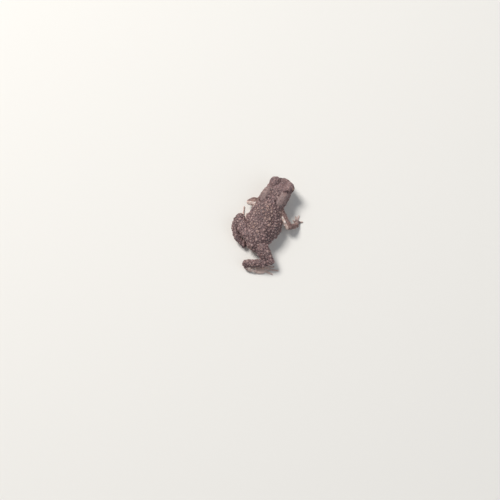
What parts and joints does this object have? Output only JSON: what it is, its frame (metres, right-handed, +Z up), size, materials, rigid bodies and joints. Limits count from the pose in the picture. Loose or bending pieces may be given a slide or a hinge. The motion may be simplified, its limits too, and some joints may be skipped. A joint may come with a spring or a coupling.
{
  "type": "common toad",
  "caption": "Life-size still model of a common toad crawling, with warty purple-brown skin, parotoid glands behind copper eyes and spread toes.",
  "frame": {"origin": "on the floor, under the middle of the toad's bounding box", "axes": "+Z up; the toad faces -Y, so its right side is towards -X; the head turns a little to its right"},
  "size_m": [0.0476, 0.073, 0.0187],
  "materials": {
    "skin": "dry, matt, warty skin in purple-brown with paler warts",
    "pale_skin": "thin matt skin of the hands and feet, pale pinkish brown",
    "eye": "wet clear eye over a copper iris with a level dark pupil"
  },
  "bodies": {
    "root": {"torso": "skin", "head": "skin", "eye_right": "eye", "eye_left": "eye", "upper_arm_right": "skin", "forearm_right": "skin", "hand_right": "pale_skin", "thigh_right": "skin", "shank_right": "skin", "foot_right": "pale_skin", "upper_arm_left": "skin", "forearm_left": "skin", "hand_left": "pale_skin", "thigh_left": "skin", "shank_left": "skin", "foot_left": "pale_skin"}
  },
  "joints": []
}
